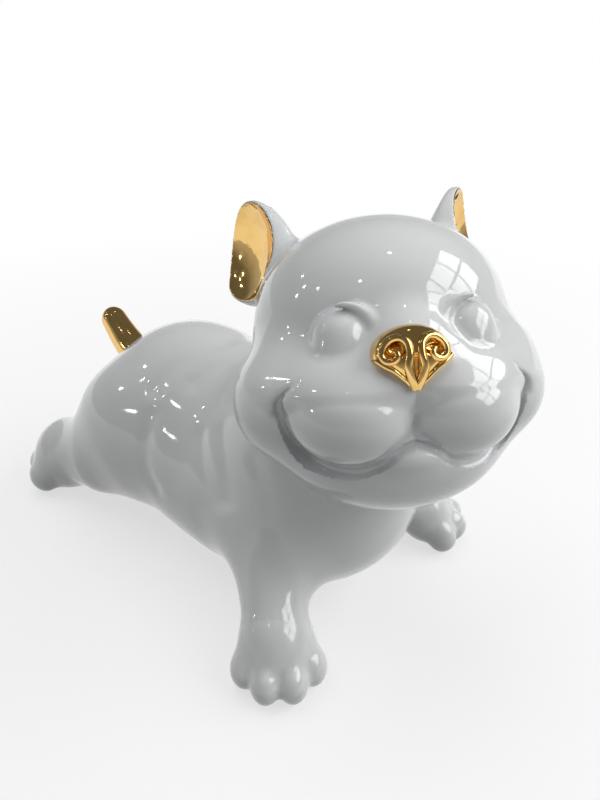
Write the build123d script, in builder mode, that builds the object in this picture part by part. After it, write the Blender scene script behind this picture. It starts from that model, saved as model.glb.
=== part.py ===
"""Porcelain puppy ornament: lying stretched out, head raised and turned, gold nose, ear linings and tail.

Front is -Y, the puppy's own left is +X, up is +Z, in millimetres and degrees.
The origin is on the flat under the belly, at the middle of the trunk.
"""

import os
from math import cos, radians, sin, sqrt

from build123d import *

os.makedirs("parts", exist_ok=True)

# Trunk: a plump round-ended form, hollow, with a flat cut under the belly
body_length = 150.0
body_width = 80.0
back_height = 85.0
belly_sink = 2.0
wall = 4.0
vent_diameter = 3.5
chest_round = 54.0
rump_round = 44.0
vent_back_share = 0.15

# Neck: a cone from the chest to the middle of the head
neck_root_diameter = 70.0
neck_top_diameter = 60.0
neck_root_ahead_share = 0.215
neck_root_height_share = 0.6

# Head: an egg on its broad end, turned to the puppy's right and lifted
head_width = 85.0
head_depth = 76.0
crown_height = 44.0
jaw_drop = 40.0
head_side = -3.4
head_ahead = 58.3
head_height = 104.5
head_turn_angle = -41.6
head_lift_angle = 24.9
head_tilt_angle = -2.3
cheek_line_share = 0.25
head_setback_share = 0.055

# Muzzle: two upper-lip lobes, the lower jaw below them and the bridge under the nose
lobe_width = 36.0
lobe_depth = 33.0
lobe_height = 29.0
jaw_width = 62.0
jaw_depth = 50.0
jaw_height = 38.0
bridge_width = 28.0
bridge_depth = 26.0
bridge_height = 26.0
lip_width = 24.0
lip_depth = 16.0
lip_height = 10.0
lobe_place_shares = (0.165, 0.37, 0.32)
jaw_place_shares = (0.0, 0.17, 0.64)
bridge_place_shares = (0.0, 0.385, -0.03)
lip_place_shares = (0.0, 0.4, 0.68)

# Cheek pads beside the corners of the mouth
cheek_width = 30.0
cheek_depth = 37.0
cheek_height = 33.0
cheek_place_shares = (0.36, 0.14, 0.28)

# Eyes: closed-in balls under a hooded upper lid
eye_width = 18.0
eye_depth = 16.0
eye_height = 18.0
lid_thickness = 1.3
lid_slope_angle = 28.0
eye_place_shares = (0.22, 0.31, -0.2)
lid_line_share = 0.2

# Ears: cupped leaves opening outwards, each with a gilded dish lying in the cup
ear_width = 35.0
ear_thickness = 24.0
ear_height = 38.0
cup_width = 34.0
cup_depth = 17.0
cup_height = 37.0
ear_turn_angle = 64.0
ear_lean_angle = -6.0
ear_flare_angle = 6.0
gilding = 0.8
ear_place_shares = (0.36, 0.285, 0.795)
ear_widest_share = 0.18
cup_forward_share = 0.415

# Nose: a gold shield with a domed front and a scroll round each nostril
nose_width = 20.5
nose_height = 16.5
nose_depth = 6.5
scroll_width = 1.5
scroll_relief = 0.7
nose_place_shares = (0.0, 0.525, -0.03)
nose_dome_share = 0.9
nose_flank_share = 0.26
nose_waist_share = 0.17
scroll_place_shares = (0.235, 0.06)
scroll_end_shares = (-0.24, 0.27, -0.13, 0.1)

# Paws, alike on all four legs, with three grooves between four toes
paw_width = 32.0
paw_length = 31.0
paw_height = 24.0
groove_diameter = 4.4
groove_lean_angle = 20.0
paw_rise_share = 0.34
wrist_back_share = 0.14
groove_side_shares = (-0.25, 0.0, 0.25)

# Forelegs, splayed forwards and outwards
foreleg_reach = 36.5
foreleg_splay_angle = 44.0
shoulder_diameter = 35.0
foreleg_waist_diameter = 24.0
wrist_diameter = 21.0
shoulder_place_shares = (0.31, -0.223, 0.4)

# Hind legs, stretched out behind
thigh_width = 43.0
thigh_length = 57.0
thigh_height = 58.0
hindleg_reach = 48.0
hindleg_splay_angle = 18.0
shank_diameter = 37.0
hock_diameter = 29.0
hock_height = 18.0
heel_width = 31.0
heel_length = 34.0
heel_height = 31.0
thigh_place_shares = (0.3, 0.353, 0.43)
shank_start_share = 0.26

# Tail: a short gold taper with a round tip
tail_length = 33.0
tail_root_diameter = 17.5
tail_tip_diameter = 10.5
tail_rise_angle = 34.0
tail_place_shares = (0.0, 0.44, 0.635)

head_centre = Vector(head_side, -head_ahead, head_height)
head_place = Location(head_centre, (head_turn_angle, -head_lift_angle, head_tilt_angle), Intrinsic.ZXY)
head_middle_plane = Plane(origin=head_centre, z_dir=Plane(head_place).x_dir)
trunk_middle_height = (back_height - belly_sink) / 2
poles_ahead = (90, 0, 0)
poles_ahead_spun = (90, 0, 90)
fore_direction = Vector(sin(radians(foreleg_splay_angle)), -cos(radians(foreleg_splay_angle)), 0)
hind_direction = Vector(sin(radians(hindleg_splay_angle)), cos(radians(hindleg_splay_angle)), 0)


def swell(place, size, mode=Mode.ADD, poles=(0, 0, 0)):
    """Add an ellipsoid of a full size at a place to the piece being built, its poles turned first."""
    ball = Sphere(1, rotation=poles, mode=Mode.PRIVATE)
    with Locations(place):
        add(scale(ball, by=tuple(s / 2 for s in size), mode=Mode.PRIVATE), mode=mode)


def on_head(shares, side=1):
    """A place on the head, as shares of its width, its depth to the front and its drop."""
    across, ahead, down = shares
    return Location((side * across * head_width, -ahead * head_depth, -down * jaw_drop))


def on_body(shares):
    """A place on the trunk, as shares of its width, length and height."""
    across, along, up = shares
    return Vector(across * body_width, along * body_length, up * back_height)


def trunk(inset):
    """The round-ended trunk, drawn in all round by the inset."""
    half_length = body_length / 2
    half_width = body_width / 2 - inset
    half_height = (back_height + belly_sink) / 2 - inset
    with BuildPart() as form:
        with BuildSketch(Plane.YZ):
            with BuildLine():
                chest_middle = (chest_round - half_length, 0)
                rump_middle = (half_length - rump_round, 0)
                chest = EllipticalCenterArc(chest_middle, chest_round - inset, half_width, 180, arc_size=-90)
                rump = EllipticalCenterArc(rump_middle, rump_round - inset, half_width, 90, arc_size=-90)
                Line(chest @ 1, rump @ 0)
                Line(rump @ 1, chest @ 0)
            make_face()
        revolve(axis=Axis.Y)
        scale(by=(1, 1, half_height / half_width))
    return Pos(0, 0, trunk_middle_height) * form.part


def neck(inset):
    """The neck from the chest to the middle of the head, drawn in by the inset."""
    root = Vector(0, -neck_root_ahead_share * body_length, neck_root_height_share * back_height)
    axis = head_centre - root
    with BuildPart(Plane(origin=root, z_dir=axis)) as form:
        Cone(
            neck_root_diameter / 2 - inset,
            neck_top_diameter / 2 - inset,
            axis.length,
            align=(Align.CENTER, Align.CENTER, Align.MIN),
        )
    return form.part


def skull(inset):
    """The egg of the head about its own centre, drawn in all round by the inset."""
    widest = -cheek_line_share * jaw_drop
    half_width = head_width / 2 - inset
    half_depth = head_depth / 2 - inset
    above = crown_height - widest - inset
    below = jaw_drop + widest - inset
    with BuildPart() as form:
        with BuildSketch(Plane.XZ):
            with BuildLine():
                upper = EllipticalCenterArc((0, widest), half_width, above, 0, arc_size=90)
                lower = EllipticalCenterArc((0, widest), half_width, below, 0, arc_size=-90)
                Line(upper @ 1, lower @ 1)
            make_face()
        revolve(axis=Axis.Z)
        scale(by=(1, half_depth / half_width, 1))
    return Pos(0, head_setback_share * head_depth, 0) * form.part


def ear_leaf():
    """The uncut leaf of an ear about its own middle, blunt at the root and slim at the tip."""
    widest = -ear_widest_share * ear_height
    half_width = ear_width / 2
    above = ear_height / 2 - widest
    below = ear_height / 2 + widest
    with BuildPart() as form:
        with BuildSketch(Plane.XZ):
            with BuildLine():
                upper = EllipticalCenterArc((0, widest), half_width, above, 0, arc_size=90)
                lower = EllipticalCenterArc((0, widest), half_width, below, 0, arc_size=-90)
                Line(upper @ 1, lower @ 1)
            make_face()
        revolve(axis=Axis.Z)
        scale(by=(1, ear_thickness / ear_width, 1))
    return form.part


def paw(ground, direction):
    """A paw on the ground, its toes parted by grooves that lean back along its front."""
    place = Plane(origin=ground, x_dir=direction.cross(Vector(0, 0, 1)), z_dir=(0, 0, 1)).location
    middle = place * Location((0, 0, paw_rise_share * paw_height))
    with BuildPart() as form:
        swell(middle, (paw_width, paw_length, paw_height), poles=poles_ahead)
        for side in groove_side_shares:
            ahead = paw_length / 2 * sqrt(1 - (2 * side) ** 2)
            with Locations(middle * Location((side * paw_width, ahead, 0), (groove_lean_angle, 0, 0))):
                Cylinder(groove_diameter / 2, 2 * paw_height, mode=Mode.SUBTRACT)
    return form.part


def limb(places, diameters):
    """A leg or a tail lofted through round sections square to its run."""
    with BuildPart() as form:
        for i, (place, diameter) in enumerate(zip(places, diameters)):
            run = places[min(i + 1, len(places) - 1)] - places[max(i - 1, 0)]
            with BuildSketch(Plane(origin=place, x_dir=run.cross(Vector(0, 0, 1)), z_dir=run)):
                Circle(diameter / 2)
        loft()
    return form.part


# Outer forms of the trunk with its neck, and of the head, which the other pieces are cut to
with BuildPart() as torso_form:
    add(trunk(0))
    add(neck(0))
    split(bisect_by=Plane.XY, keep=Keep.TOP)

with BuildPart() as torso_hollow:
    add(trunk(wall))
    add(neck(wall))
    split(bisect_by=Plane.XY.offset(wall), keep=Keep.TOP)

eye_size = (eye_width, eye_depth, eye_height)
lid_size = tuple(s + 2 * lid_thickness for s in eye_size)

with BuildPart() as lid_form:
    swell(Location((0, 0, 0)), lid_size)
    lid_line = Plane(origin=(0, 0, lid_line_share * eye_height)).rotated((lid_slope_angle, 0, 0))
    split(bisect_by=lid_line, keep=Keep.TOP)

with BuildPart() as face_form:
    add(skull(0))
    for place, size in (
        (jaw_place_shares, (jaw_width, jaw_depth, jaw_height)),
        (bridge_place_shares, (bridge_width, bridge_depth, bridge_height)),
        (lip_place_shares, (lip_width, lip_depth, lip_height)),
    ):
        swell(on_head(place), size, poles=poles_ahead)
    for side in (-1, 1):
        for place, size in (
            (cheek_place_shares, (cheek_width, cheek_depth, cheek_height)),
            (lobe_place_shares, (lobe_width, lobe_depth, lobe_height)),
            (eye_place_shares, eye_size),
        ):
            swell(on_head(place, side), size, poles=poles_ahead)
        with Locations(on_head(eye_place_shares, side)):
            add(lid_form.part)

with BuildPart() as head_form:
    with Locations(head_place):
        add(face_form.part)

# Torso: trunk and neck in one shell, seated on the head, with a small vent under the belly
with BuildPart() as torso:
    add(torso_form.part)
    add(torso_hollow.part, mode=Mode.SUBTRACT)
    add(head_form.part, mode=Mode.SUBTRACT)
    with Locations((0, vent_back_share * body_length, 0)):
        Cylinder(vent_diameter / 2, 2 * wall + belly_sink, mode=Mode.SUBTRACT)
torso.part.label = "torso"

# Head: a hollow shell open to the neck
with BuildPart() as head:
    add(head_form.part)
    with Locations(head_place):
        add(skull(wall), mode=Mode.SUBTRACT)
    add(neck(wall), mode=Mode.SUBTRACT)
head.part.label = "head"

# Ears: the cup is cut out of a leaf, and a gilded dish lines each cup
ear_rise = ear_place_shares[2] * crown_height
ear_turns = (ear_turn_angle, ear_lean_angle, ear_flare_angle)
ear_place = (
    head_place
    * on_head((ear_place_shares[0], -ear_place_shares[1], 0))
    * Location((0, 0, ear_rise), ear_turns, Intrinsic.ZXY)
)
cup_place = ear_place * Location((0, -cup_forward_share * ear_thickness, 0))
cup_size = (cup_width, cup_depth, cup_height)
dish_size = tuple(s - 2 * gilding for s in cup_size)

with BuildPart() as ear_left:
    with Locations(ear_place):
        add(ear_leaf())
    swell(cup_place, cup_size, mode=Mode.SUBTRACT, poles=poles_ahead_spun)
    add(head_form.part, mode=Mode.SUBTRACT)

with BuildPart() as ear_right:
    mirror(ear_left.part, about=head_middle_plane)

with BuildPart() as ear_linings:
    swell(cup_place, cup_size, poles=poles_ahead_spun)
    with Locations(ear_place):
        add(ear_leaf(), mode=Mode.INTERSECT)
    swell(cup_place, dish_size, mode=Mode.SUBTRACT, poles=poles_ahead_spun)
    add(head_form.part, mode=Mode.SUBTRACT)
    mirror(about=head_middle_plane)

ear_left.part.label = "ear_left"
ear_right.part.label = "ear_right"
ear_linings.part.label = "ear_linings"

# Nose: the shield, domed in front, with a scroll ridge curling round each nostril
nose_dome = (nose_width / nose_dome_share, nose_depth * 2, nose_height / nose_dome_share)
scroll_dome = tuple(s + 2 * scroll_relief for s in nose_dome)
scroll_across = scroll_place_shares[0] * nose_width
scroll_rise = scroll_place_shares[1] * nose_height

with BuildPart() as shield:
    with BuildSketch(Plane.XZ):
        with BuildLine():
            corner = (nose_width / 2, 0)
            flank = (nose_flank_share * nose_width, -nose_waist_share * nose_height)
            tip = (0, -nose_height / 2)
            EllipticalCenterArc((0, 0), nose_width / 2, nose_height / 2, 0, arc_size=180)
            right_edge = ThreePointArc(corner, flank, tip)
            mirror(right_edge, about=Plane.YZ)
        make_face()
    extrude(amount=nose_depth, both=True)
    swell(Location((0, 0, 0)), nose_dome, mode=Mode.INTERSECT)

with BuildPart() as scrolls:
    with BuildSketch(Plane.XZ):
        with BuildLine():
            ends = [share * nose_height + scroll_rise for share in scroll_end_shares]
            for turn, (start, end) in enumerate(zip(ends, ends[1:])):
                bulge = Vector(scroll_across - abs(end - start) / 2 * (-1) ** turn, (start + end) / 2)
                ThreePointArc((scroll_across, start), bulge, (scroll_across, end))
        trace(line_width=scroll_width)
        mirror(about=Plane.YZ)
    extrude(amount=nose_depth, both=True)
    swell(Location((0, 0, 0)), scroll_dome, mode=Mode.INTERSECT)

with BuildPart() as nose:
    with Locations(head_place * on_head(nose_place_shares)):
        add(shield.part)
        add(scrolls.part)
    add(head_form.part, mode=Mode.SUBTRACT)
nose.part.label = "nose"

# Forelegs: upper arm, wrist and paw, cut to the trunk and flat on the ground
shoulder = on_body(shoulder_place_shares)
fore_paw_ground = Vector(shoulder.X, shoulder.Y, 0) + fore_direction * foreleg_reach
wrist = fore_paw_ground - fore_direction * (wrist_back_share * paw_length) + Vector(0, 0, paw_height / 2)
fore_waist = (shoulder + wrist) / 2

with BuildPart() as foreleg_left:
    add(limb((shoulder, fore_waist, wrist), (shoulder_diameter, foreleg_waist_diameter, wrist_diameter)))
    add(paw(fore_paw_ground, fore_direction))
    split(bisect_by=Plane.XY, keep=Keep.TOP)
    add(torso_form.part, mode=Mode.SUBTRACT)

with BuildPart() as foreleg_right:
    mirror(foreleg_left.part, about=Plane.YZ)

foreleg_left.part.label = "foreleg_left"
foreleg_right.part.label = "foreleg_right"

# Hind legs: round thigh, shank and paw stretched out behind
thigh = on_body(thigh_place_shares)
hind_paw_ground = Vector(thigh.X, thigh.Y, 0) + hind_direction * hindleg_reach
hock = hind_paw_ground - hind_direction * (wrist_back_share * paw_length) + Vector(0, 0, hock_height)
shank = thigh + (hock - thigh) * shank_start_share

hind_turns = (0, 0, -hindleg_splay_angle)

with BuildPart() as hindleg_left:
    thigh_size = (thigh_width, thigh_length, thigh_height)
    swell(Location(thigh, hind_turns), thigh_size, poles=poles_ahead)
    add(limb((shank, (shank + hock) / 2, hock),
             (shank_diameter, (shank_diameter + hock_diameter) / 2, hock_diameter)))
    swell(Location(hock, hind_turns), (heel_width, heel_length, heel_height), poles=poles_ahead)
    add(paw(hind_paw_ground, hind_direction))
    split(bisect_by=Plane.XY, keep=Keep.TOP)
    add(torso_form.part, mode=Mode.SUBTRACT)

with BuildPart() as hindleg_right:
    mirror(hindleg_left.part, about=Plane.YZ)

hindleg_left.part.label = "hindleg_left"
hindleg_right.part.label = "hindleg_right"

# Tail: a taper out of the rump, closed by a round tip
tail_root = on_body(tail_place_shares)
tail_direction = Vector(0, cos(radians(tail_rise_angle)), sin(radians(tail_rise_angle)))

with BuildPart() as tail:
    with Locations(Plane(origin=tail_root, z_dir=tail_direction)):
        Cone(
            tail_root_diameter / 2,
            tail_tip_diameter / 2,
            tail_length,
            align=(Align.CENTER, Align.CENTER, Align.MIN),
        )
    with Locations(tail_root + tail_direction * tail_length):
        Sphere(tail_tip_diameter / 2)
    add(torso_form.part, mode=Mode.SUBTRACT)
tail.part.label = "tail"

for piece in (
    torso,
    head,
    ear_left,
    ear_right,
    ear_linings,
    nose,
    foreleg_left,
    foreleg_right,
    hindleg_left,
    hindleg_right,
    tail,
):
    export_step(piece.part, f"parts/{piece.part.label}.step")
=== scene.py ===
"""White glazed porcelain puppy, stretched out on its belly, with gold nose, ear linings and tail.

The skin is one continuous sculpted surface, cut into the pieces that the figure is made of.
Everything is in metres in the figure's own frame: front is -Y, its own left is +X, up is +Z.
"""

from math import pi, radians

import bpy
import numpy as np
from bpy.props import (
    FloatProperty,
    FloatVectorProperty,
    IntProperty,
    IntVectorProperty,
    PointerProperty,
)
from mathutils import Euler, Matrix, Vector


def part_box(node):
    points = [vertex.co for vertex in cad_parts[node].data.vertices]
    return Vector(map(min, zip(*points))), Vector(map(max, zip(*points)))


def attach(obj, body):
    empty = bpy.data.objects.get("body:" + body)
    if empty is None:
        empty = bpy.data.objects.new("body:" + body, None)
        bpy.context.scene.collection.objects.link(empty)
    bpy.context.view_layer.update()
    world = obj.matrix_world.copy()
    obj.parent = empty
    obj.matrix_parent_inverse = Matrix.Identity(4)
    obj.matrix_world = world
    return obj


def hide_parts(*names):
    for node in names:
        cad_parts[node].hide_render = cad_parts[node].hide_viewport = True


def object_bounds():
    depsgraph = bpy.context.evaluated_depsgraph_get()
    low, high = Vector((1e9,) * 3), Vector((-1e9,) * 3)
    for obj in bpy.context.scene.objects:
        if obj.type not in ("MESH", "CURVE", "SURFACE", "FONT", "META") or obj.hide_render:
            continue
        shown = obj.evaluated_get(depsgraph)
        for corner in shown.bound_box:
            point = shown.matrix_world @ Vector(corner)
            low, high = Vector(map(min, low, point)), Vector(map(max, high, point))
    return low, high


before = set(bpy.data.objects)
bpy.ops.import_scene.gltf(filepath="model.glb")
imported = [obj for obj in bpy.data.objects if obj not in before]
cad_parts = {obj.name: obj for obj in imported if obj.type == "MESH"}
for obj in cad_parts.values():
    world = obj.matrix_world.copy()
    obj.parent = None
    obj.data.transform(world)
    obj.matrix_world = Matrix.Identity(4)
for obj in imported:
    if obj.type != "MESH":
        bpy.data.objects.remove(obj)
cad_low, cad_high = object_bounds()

bl_info = {
    "name": "Porcelain Puppy",
    "version": (1, 0, 0),
    "blender": (4, 5, 0),
    "location": "View3D > Sidebar > Puppy",
    "description": "Sculpts a glazed porcelain puppy with gold nose, ear linings and tail",
    "category": "Add Mesh",
}

MM = 0.001
TINY = 1e-9
SQUARE = ((-1, -1), (1, -1), (1, 1), (-1, 1))

CELLS = {
    "trunk": 1.1 * MM,
    "head": 0.75 * MM,
    "ears": 0.7 * MM,
    "forelegs": 0.75 * MM,
    "hindlegs": 0.85 * MM,
    "linings": 0.45 * MM,
    "nose": 0.2 * MM,
}

# Room round a piece that is sculpted, and reach of the lines pressed into it
SKIN_MARGIN = 14 * MM
BOX_MARGIN = 2 * MM
MARGIN_CELLS = 4
ROUTE_REACH = 15 * MM
FOLD_REACH_WIDTHS = 4

# Grid work: cells in a block, how near the surface a block counts, and blocks worked out at once
BLOCK_CELLS = 14
NEAR_BLOCKS = 1.4
BLOCK_BATCH = 60

# Points are drawn onto the surface in a few steps, along slopes measured over a short step
SETTLING_STEPS = 3
SLOPE_STEP = 0.02 * MM
SHADING_STEP = 0.1 * MM

# Steps between the given points of a line
ROUTE_STEPS = 8
FACE_STEPS = 4
FOLD_STEPS = 3
TAIL_STEPS = 24

# Rings along a strand, sides round it, and the share of a scroll that its rounded tip takes
SCROLL_RINGS = 140
SCROLL_SIDES = 20
SCROLL_TIP_SHARE = 0.08
TAIL_RINGS = 220
TAIL_SIDES = 64
TIP_CLOSING = 0.9985

# How far out a hollow is felt for the painted shade that greys the glaze in it, and the values where that
# shade shows
SHADE_REACHES = (2.5 * MM, 6 * MM)
SHADE_SPAN = (0.15, 0.9)

# Where most values of a noise lie, and where they make the gold look thin
NOISE_SPAN = (0.3, 0.7)
THIN_SPAN = (0.45, 0.75)

# Colour sockets of a Mix node
MIX_COLOURS = (6, 7)
MIX_RESULT = 2


# Property shorthands: values are written in millimetres or degrees


def length(label, note, value):
    """A length property."""
    return FloatProperty(name=label, description=note, default=value * MM, unit="LENGTH", precision=4)


def size(label, note, value):
    """Half sizes along the three axes."""
    default = [v * MM for v in value]
    return FloatVectorProperty(name=label, description=note, default=default, unit="LENGTH", precision=4)


def place(label, note, value):
    """A point."""
    default = [v * MM for v in value]
    return FloatVectorProperty(
        name=label, description=note, default=default, unit="LENGTH", subtype="TRANSLATION", precision=4
    )


def turn(label, note, value):
    """An angle."""
    return FloatProperty(name=label, description=note, default=radians(value), subtype="ANGLE")


def colour(label, note, value):
    """A colour."""
    return FloatVectorProperty(
        name=label, description=note, default=value, subtype="COLOR", min=0, max=1
    )


def share(label, note, value):
    """A plain number between nothing and one."""
    return FloatProperty(name=label, description=note, default=value, min=0, max=1, subtype="FACTOR")


def number(label, note, value):
    """A plain number."""
    return FloatProperty(name=label, description=note, default=value)


def span(label, note, value):
    """The least and the greatest of a value."""
    return FloatVectorProperty(name=label, description=note, default=value, size=2)


def width_height(label, note, value):
    """Width and height of a lamp."""
    default = [v * MM for v in value]
    return FloatVectorProperty(name=label, description=note, default=default, size=2, unit="LENGTH")


class TrunkSizes(bpy.types.PropertyGroup):
    """Chest, belly, rump and neck."""

    chest_place: place("Chest place", "Middle of the chest", (0, -29.5, 43))
    chest: size("Chest", "Half sizes of the chest", (38, 39, 39.5))
    belly_place: place("Belly place", "Middle of the belly", (0, 0.5, 37))
    belly: size("Belly", "Half sizes of the belly", (42, 50, 39))
    rump_place: place("Rump place", "Middle of the rump", (0, 37, 43.5))
    rump: size("Rump", "Half sizes of the rump", (40, 42, 40))
    neck_root: place("Neck root", "Where the neck leaves the chest", (0, -31.5, 52))
    neck_top: place("Neck top", "Where the neck enters the head", (-1, -49.5, 90))
    neck_root_radius: length("Neck root radius", "Radius of the neck at the chest", 35)
    neck_top_radius: length("Neck top radius", "Radius of the neck at the head", 31)
    trunk_blend: length("Trunk blend", "How softly chest, belly and rump run together", 16)
    neck_blend: length("Neck blend", "How softly the neck runs into the chest", 14)
    fold_depth: length("Fold depth", "Depth of the trunk's soft folds", 0.9)
    fold_width: length("Fold width", "Half width of the trunk's soft folds", 4)
    base_round: length("Base round", "Rounding of the edge of the flat underside", 1)


class LegSizes(bpy.types.PropertyGroup):
    """Forelegs, hind legs and paws, given for the left side."""

    shoulder: place("Shoulder", "Middle of the shoulder", (25, -33.5, 34))
    shoulder_radius: length("Shoulder radius", "Radius of the foreleg at the shoulder", 17)
    wrist: place("Wrist", "Middle of the wrist", (47, -53.5, 17))
    wrist_radius: length("Wrist radius", "Radius of the foreleg at the wrist", 10)
    fore_paw: place("Fore paw", "Ground point of the fore paw", (50.5, -59, 0))
    left_paw_shift: place("Left paw shift", "Shift of the left fore paw from a mirrored one", (-3.6, 4, 0))
    fore_paw_turn: turn("Fore paw turn", "Turn of the fore paw outwards", 45)
    fore_blend: length("Foreleg blend", "How softly the foreleg runs into the chest", 12)
    thigh_place: place("Thigh place", "Middle of the thigh", (24, 53, 37))
    thigh: size("Thigh", "Half sizes of the thigh", (20, 27, 28))
    knee: place("Knee", "Start of the shank", (28, 70, 23))
    knee_radius: length("Knee radius", "Radius of the shank at the knee", 18)
    hock: place("Hock", "End of the shank", (34.5, 89.5, 18.5))
    hock_radius: length("Hock radius", "Radius of the shank at the hock", 14.5)
    hind_paw: place("Hind paw", "Ground point of the hind paw", (36.5, 94.5, 1))
    hind_paw_scale: number("Hind paw scale", "Size of a hind paw to a fore paw", 1.1)
    hind_paw_turn: turn("Hind paw turn", "Turn of the hind paw", 165)
    hind_blend: length("Hind leg blend", "How softly the hind leg runs into the rump", 13)
    shank_blend: length("Shank blend", "How softly shank and paw run together", 7)
    palm_place: place("Palm place", "Middle of the palm from the paw's ground point", (0, 3.5, 10.5))
    palm: size("Palm", "Half sizes of the palm", (13, 12.5, 11.5))
    toe: size("Toe", "Half sizes of a toe", (5.2, 6.5, 7))
    toe_height: length("Toe height", "Height of the middle of a toe", 7)
    outer_toe: place("Outer toe", "Place of an outer toe", (11, -1, 0))
    inner_toe: place("Inner toe", "Place of an inner toe", (4.4, -7.5, 0))
    toe_blend: length("Toe blend", "How softly the toes run together", 2.6)


class HeadSizes(bpy.types.PropertyGroup):
    """Head and face, in the head's own axes: the face looks along -Y."""

    centre: place("Centre", "Middle of the head", (-3.4, -58.3, 104.5))
    look_turn: turn("Look turn", "Turn of the head to its right", -41.6)
    look_lift: turn("Look lift", "Lift of the face", 24.9)
    look_tilt: turn("Look tilt", "Sideways tilt of the head", -2.3)
    brow_shift: length("Brow shift", "How far brow and crown stand to the left of the muzzle", 1.9)
    brow_start: length("Brow start", "Height from which the face is shifted with the brow", -6)
    brow_span: length("Brow span", "Height over which that shift grows", 12)
    crown_place: place("Crown place", "Middle of the crown", (0, 6, 13))
    crown: size("Crown", "Half sizes of the crown", (38.2, 38, 29.8))
    jowl_place: place("Jowl place", "Middle of the broad lower head", (0, 2, -10))
    jowl: size("Jowls", "Half sizes of the broad lower head", (41, 34, 26))
    cheek_place: place("Cheek place", "Middle of a cheek", (31, -11, -11))
    cheek: size("Cheek", "Half sizes of a cheek", (14.4, 18, 16))
    jaw_place: place("Jaw place", "Middle of the lower jaw", (0, -13, -25.5))
    jaw: size("Jaw", "Half sizes of the lower jaw", (31, 25, 19))
    lip_place: place("Lip place", "Middle of the lower lip", (0, -36, -26))
    lip: size("Lip", "Half sizes of the lower lip", (8.5, 5, 4))
    snout_place: place("Snout place", "Middle of the broad top of the muzzle", (0, -22, -7))
    snout: size("Snout", "Half sizes of the broad top of the muzzle", (29, 19, 12.5))
    lobe_place: place("Lobe place", "Middle of an upper-lip lobe", (13.5, -28.5, -14.4))
    lobe: size("Lobe", "Half sizes of an upper-lip lobe", (17, 16.5, 14))
    lobe_end_place: place("Lobe end place", "Middle of the outer end of a lobe", (22, -20.5, -9.6))
    lobe_end: size("Lobe end", "Half sizes of the outer end of a lobe", (11.3, 13, 9.6))
    bridge_place: place("Bridge place", "Middle of the bridge of the nose", (0, -30, 2))
    bridge: size("Bridge", "Half sizes of the bridge of the nose", (11, 10.5, 10))
    eye_place: place("Eye place", "Middle of an eyeball", (16.8, -25.7, 5.9))
    eye: size("Eye", "Half sizes of an eyeball", (8.5, 8.8, 8.6))
    eye_blend: length("Eye blend", "How softly the eyeball meets the face", 1.4)
    lid_blend: length("Lid blend", "How softly the upper lid's roll runs into the brow", 2.6)
    jowl_blend: length("Jowl blend", "How softly the jowls run into the crown", 16)
    cheek_blend: length("Cheek blend", "How softly the cheeks run into the head", 10)
    jaw_blend: length("Jaw blend", "How softly the jaw runs into the head", 9)
    lip_blend: length("Lip blend", "How softly the lower lip runs into the jaw", 4)
    muzzle_blend: length("Muzzle blend", "How softly snout and bridge run into the face", 7)
    lobe_end_blend: length("Lobe end blend", "How softly a lobe runs out to its end", 8)
    mouth_front: length("Mouth front", "Place along the head in front of which the mouth is pressed in", -12)
    mouth_fade: length("Mouth fade", "Depth over which the mouth runs out towards the back", 6)
    lip_crease: length("Lip crease", "How softly the lobes meet the jaw below them", 1.2)
    lobe_blend: length("Lobe blend", "How softly the lobes run into the muzzle above them", 9)
    crease_top: length("Crease top", "Height from which the crease under the lobes softens", -15)
    crease_fade: length("Crease fade", "Height over which that crease softens", 8)
    fold_blend: length("Fold blend", "How softly the fold at the corner of the mouth runs out", 3)
    head_blend: length("Head blend", "How softly the head runs into the neck", 3)


class EarSizes(bpy.types.PropertyGroup):
    """Ears and their gilded cups, given for the left ear in the head's axes."""

    ear_place: place("Ear place", "Middle of the ear", (30.5, 21.6, 35))
    leaf: size("Leaf", "Half sizes of the ear's leaf", (17.5, 13, 17))
    leaf_widest: length("Leaf widest", "How far below its middle the leaf is widest", 6.8)
    leaf_bow: length("Leaf bow", "How far the leaf's tip bows towards the cup", 5)
    leaf_pinch: share("Leaf pinch", "How much thinner the leaf's back gets towards the tip", 0.9)
    ear_turn: turn("Ear turn", "Turn of the cup outwards", 64)
    ear_lean: turn("Ear lean", "Lean of the ear backwards", -6)
    ear_flare: turn("Ear flare", "Lean of the ear outwards", 6)
    cup_place: place("Cup place", "Middle of the cup from the ear's middle", (0, -10, 0))
    cup: size("Cup", "Half sizes of the cup", (17, 8.5, 17))
    ear_blend: length("Ear blend", "How softly the ear runs into the head", 4)
    cup_round: length("Cup round", "Rounding of the cup's rim", 0.8)
    gilding: length("Gilding", "How far the gilded lining stands out of the cup's wall", 0.3)
    gilding_root: length("Gilding root", "How far the gilded lining reaches into the cup's wall", 1.2)
    gilding_inset: length("Gilding inset", "How far the gilding stops below the rim", 0.35)


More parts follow.
